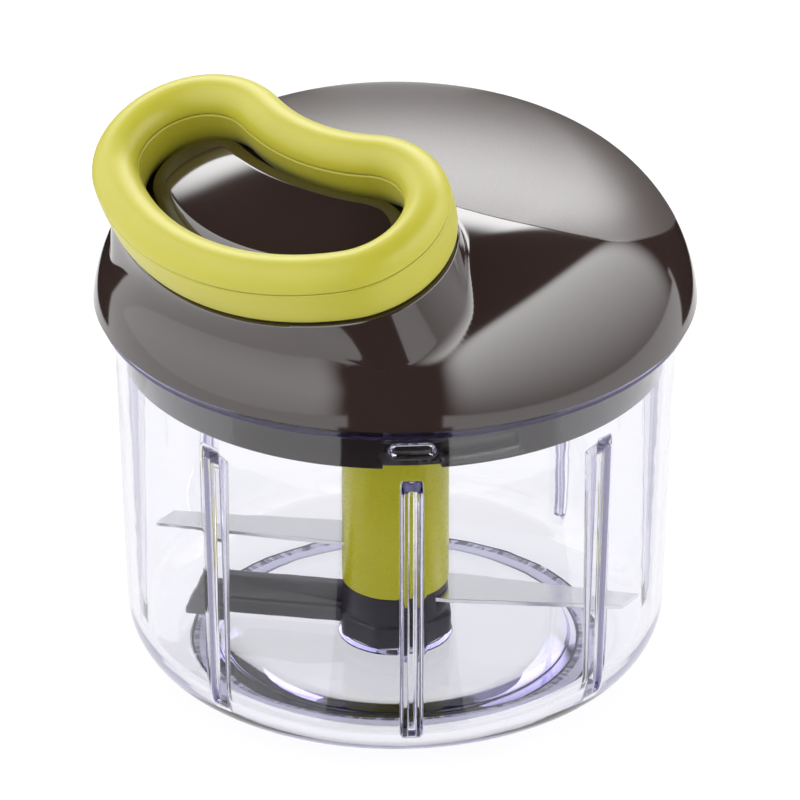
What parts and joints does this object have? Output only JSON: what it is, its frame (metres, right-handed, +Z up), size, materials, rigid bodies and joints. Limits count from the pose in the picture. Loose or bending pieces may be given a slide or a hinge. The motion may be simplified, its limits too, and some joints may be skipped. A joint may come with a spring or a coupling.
{
  "type": "manual food chopper",
  "caption": "Pull-cord food chopper: a clear bowl with a blade shaft under a domed lid, and a ring handle that pulls a cord to spin the blades.",
  "frame": {"origin": "on the bowl's turning axis at the table, under the middle of the bowl", "axes": "+Z up along the blade shaft, -Y towards the ring handle, +X to the right seen from the handle side"},
  "size_m": [0.1324, 0.1346, 0.1408],
  "materials": {
    "clear_bowl": "clear rigid plastic with a lavender edge tint, see-through like glass",
    "anti_slip_rubber": "matte soft light grey",
    "bright_steel": "ground bright steel",
    "blade_steel": "satin steel with a ground edge",
    "lime_plastic": "satin lime green",
    "charcoal_plastic": "satin dark grey",
    "bronze_bush": "oiled sintered bronze",
    "brown_plastic": "high gloss dark brown with a matte palm area",
    "collar_plastic": "satin dark brown grey",
    "pale_plastic": "plain moulded natural plastic",
    "spring_steel": "blued strip steel",
    "woven_cord": "braided white polyester"
  },
  "bodies": {
    "bowl": {"bowl": "clear_bowl", "anti_slip_ring": "anti_slip_rubber", "pivot_pin": "bright_steel"},
    "blades": {"blade_shaft": "lime_plastic", "paddle_hub": "charcoal_plastic", "pivot_bush": "bronze_bush", "upper_blade": "blade_steel", "lower_blade": "blade_steel", "drive_dog": "charcoal_plastic"},
    "axle": {"drum_axle": "bright_steel", "axle_washer": "bright_steel", "axle_clip": "spring_steel"},
    "lid": {"lid_shell": "brown_plastic", "lid_base": "collar_plastic", "lid_screws": "bright_steel", "cord_eyelet": "bright_steel", "spring_cup": "pale_plastic", "cup_screws": "bright_steel", "recoil_spring": "spring_steel", "pull_cord": "woven_cord"},
    "drum": {"cord_drum": "pale_plastic", "drive_socket": "charcoal_plastic", "cord_winding": "woven_cord"},
    "handle": {"handle_upper": "lime_plastic", "handle_lower": "lime_plastic", "handle_screws": "bright_steel", "cord_knot": "woven_cord"}
  },
  "joints": [
    {"name": "lid_lift", "type": "slide", "parent": "bowl", "child": "axle", "axis": [0, 0, 1], "range_m": [0, 0.12]},
    {"name": "lid_twist", "type": "hinge", "parent": "axle", "child": "lid", "pos_m": [0, 0, 0.0875], "axis": [0, 0, 1], "range_deg": [-17, 0]},
    {"name": "handle_pull", "type": "slide", "parent": "lid", "child": "handle", "axis": [0, -0.3827, 0.9239], "range_m": [0, 0.35], "stiffness_N_per_m": 12, "springref_m": -0.25, "deforming": ["pull_cord"]},
    {"name": "drum_spin", "type": "hinge", "parent": "lid", "child": "drum", "pos_m": [0, 0, 0.094], "axis": [0, 0, 1], "range_deg": [0, 770], "deforming": ["recoil_spring"]},
    {"name": "blade_spin", "type": "hinge", "parent": "bowl", "child": "blades", "pos_m": [0, 0, 0.02], "axis": [0, 0, 1], "range_deg": [0, 770]}
  ],
  "couplings": [
    {"joint": "drum_spin", "follows": "handle_pull", "rad_per_m": 38.095},
    {"joint": "blade_spin", "follows": "handle_pull", "rad_per_m": 38.095}
  ]
}
